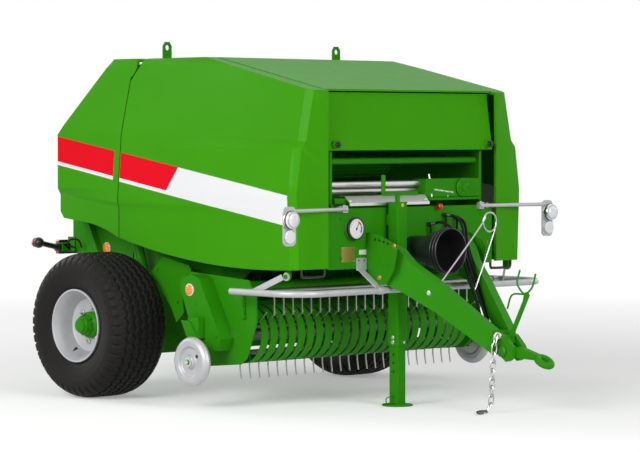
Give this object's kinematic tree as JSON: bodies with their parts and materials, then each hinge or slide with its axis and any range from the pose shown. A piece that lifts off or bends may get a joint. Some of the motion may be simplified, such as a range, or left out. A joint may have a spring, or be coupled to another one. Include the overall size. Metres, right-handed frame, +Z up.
{
  "type": "round baler",
  "caption": "Trailed round baler with a roller bale chamber, hinged tailgate, tined pickup, gauge wheels, crop guard hoop, drawbar and parking jack.",
  "frame": {"origin": "on the ground, in the middle of the machine's length and width", "axes": "+X forward along the drawbar, +Y to the machine's left, +Z up"},
  "size_m": [3.5517, 2.562, 2.134],
  "materials": {
    "green_body": "gloss",
    "green_frame": "gloss",
    "silver_paint": "satin",
    "zinc": "satin",
    "bare_steel": "satin",
    "tyre": "matte",
    "black_plastic": "matte",
    "lens_red": "gloss",
    "lens_orange": "gloss",
    "gauge": "gloss"
  },
  "bodies": {
    "chassis": {"axle_beam": "green_frame", "front_walls": "green_frame", "front_rollers": "green_frame", "floor_rollers": "green_frame", "feed_floor": "green_frame", "hood": "green_body", "lifting_eyes": "green_frame", "lower_panel": "green_frame", "net_frame": "green_frame", "net_rollers": "zinc", "net_drive": "green_frame", "front_lamps": "silver_paint", "pressure_gauge": "gauge", "gearbox": "green_frame", "pto_guard": "black_plastic", "drawbar_brackets": "green_frame", "drawbar": "green_frame", "hitch_block": "green_frame", "towing_eye": "green_frame", "jack_tube": "green_frame", "guard_brackets": "green_frame", "gussets": "green_frame", "crop_guard": "silver_paint", "cover_hinges": "green_frame"},
    "wheel_right": {"tyre_right": "tyre", "rim_right": "silver_paint", "hub_right": "green_frame"},
    "wheel_left": {"tyre_left": "tyre", "rim_left": "silver_paint", "hub_left": "green_frame"},
    "tailgate": {"tail_walls": "green_frame", "tail_rollers": "green_frame", "tail_covers": "green_body", "tail_frame": "green_frame", "lamp_bar": "green_frame", "rear_lamps": "lens_red", "stalk_lamps": "black_plastic"},
    "cover_right": {"side_cover_right": "green_body"},
    "cover_left": {"side_cover_left": "green_body"},
    "lid": {"net_lid": "green_body"},
    "jack_leg": {"jack_foot": "green_frame"},
    "crank": {"jack_crank": "silver_paint"},
    "drive_stub": {"pto_shaft": "bare_steel"},
    "rotor": {"feed_rotor": "green_frame"},
    "pickup": {"pickup_shields": "green_frame", "pickup_bands": "green_frame"},
    "reel": {"pickup_reel": "bare_steel"},
    "gauge_right": {"gauge_wheel_right": "silver_paint"},
    "gauge_left": {"gauge_wheel_left": "silver_paint"},
    "comb": {"crop_comb": "bare_steel"},
    "barrel_right": {"lift_barrel_right": "green_frame"},
    "barrel_left": {"lift_barrel_left": "green_frame"},
    "rod_right": {"lift_rod_right": "gauge"},
    "rod_left": {"lift_rod_left": "gauge"}
  },
  "joints": [
    {"name": "wheel_right_spin", "type": "hinge", "parent": "chassis", "child": "wheel_right", "pos_m": [-0.9, -1.079, 0.435], "axis": [0, 1, 0], "continuous": true},
    {"name": "wheel_left_spin", "type": "hinge", "parent": "chassis", "child": "wheel_left", "pos_m": [-0.9, 1.079, 0.435], "axis": [0, 1, 0], "continuous": true},
    {"name": "tailgate_swing", "type": "hinge", "parent": "chassis", "child": "tailgate", "pos_m": [-0.908, 0, 1.99], "axis": [0, 1, 0], "range_deg": [0, 70]},
    {"name": "cover_right_swing", "type": "hinge", "parent": "chassis", "child": "cover_right", "pos_m": [-0.44, -0.756, 2.025], "axis": [-1, 0, 0], "range_deg": [0, 70]},
    {"name": "cover_left_swing", "type": "hinge", "parent": "chassis", "child": "cover_left", "pos_m": [-0.44, 0.756, 2.025], "axis": [1, 0, 0], "range_deg": [0, 70]},
    {"name": "lid_swing", "type": "hinge", "parent": "chassis", "child": "lid", "pos_m": [0.623, 0, 1.808], "axis": [0, -1, 0], "range_deg": [0, 70]},
    {"name": "jack_slide", "type": "slide", "parent": "chassis", "child": "jack_leg", "axis": [0, 0, 1], "range_m": [0, 0.25]},
    {"name": "crank_spin", "type": "hinge", "parent": "chassis", "child": "crank", "pos_m": [0.745, -0.19, 1.2], "axis": [0, 0, 1], "continuous": true},
    {"name": "drive_spin", "type": "hinge", "parent": "chassis", "child": "drive_stub", "pos_m": [0.7, 0, 0.903], "axis": [1, 0, 0], "continuous": true},
    {"name": "rotor_spin", "type": "hinge", "parent": "chassis", "child": "rotor", "pos_m": [-0.355, 0, 0.545], "axis": [0, 1, 0], "continuous": true},
    {"name": "pickup_lift", "type": "hinge", "parent": "chassis", "child": "pickup", "pos_m": [-0.26, 0, 0.7], "axis": [0, 1, 0], "range_deg": [0, 15]},
    {"name": "reel_spin", "type": "hinge", "parent": "pickup", "child": "reel", "pos_m": [0.15, 0, 0.42], "axis": [0, 1, 0], "continuous": true},
    {"name": "gauge_right_spin", "type": "hinge", "parent": "pickup", "child": "gauge_right", "pos_m": [0.066, -1.179, 0.272], "axis": [0, 1, 0], "continuous": true},
    {"name": "gauge_left_spin", "type": "hinge", "parent": "pickup", "child": "gauge_left", "pos_m": [0.066, 1.179, 0.272], "axis": [0, 1, 0], "continuous": true},
    {"name": "comb_swing", "type": "hinge", "parent": "chassis", "child": "comb", "pos_m": [0.396, 0, 0.682], "axis": [0, -1, 0], "range_deg": [0, 50]},
    {"name": "barrel_right_tilt", "type": "hinge", "parent": "chassis", "child": "barrel_right", "pos_m": [-0.86, -0.742, 0.7], "axis": [0, 1, 0], "range_deg": [0, 4.89]},
    {"name": "rod_right_slide", "type": "slide", "parent": "barrel_right", "child": "rod_right", "axis": [-0.341, 0, 0.9401], "range_m": [0, 0.4737]},
    {"name": "barrel_left_tilt", "type": "hinge", "parent": "chassis", "child": "barrel_left", "pos_m": [-0.86, 0.742, 0.7], "axis": [0, 1, 0], "range_deg": [0, 4.89]},
    {"name": "rod_left_slide", "type": "slide", "parent": "barrel_left", "child": "rod_left", "axis": [-0.341, 0, 0.9401], "range_m": [0, 0.4737]}
  ],
  "couplings": [
    {"joint": "barrel_right_tilt", "follows": "tailgate_swing", "ratio": 0.06553},
    {"joint": "rod_right_slide", "follows": "tailgate_swing", "m_per_rad": 0.38528},
    {"joint": "barrel_left_tilt", "follows": "tailgate_swing", "ratio": 0.06553},
    {"joint": "rod_left_slide", "follows": "tailgate_swing", "m_per_rad": 0.38528}
  ]
}
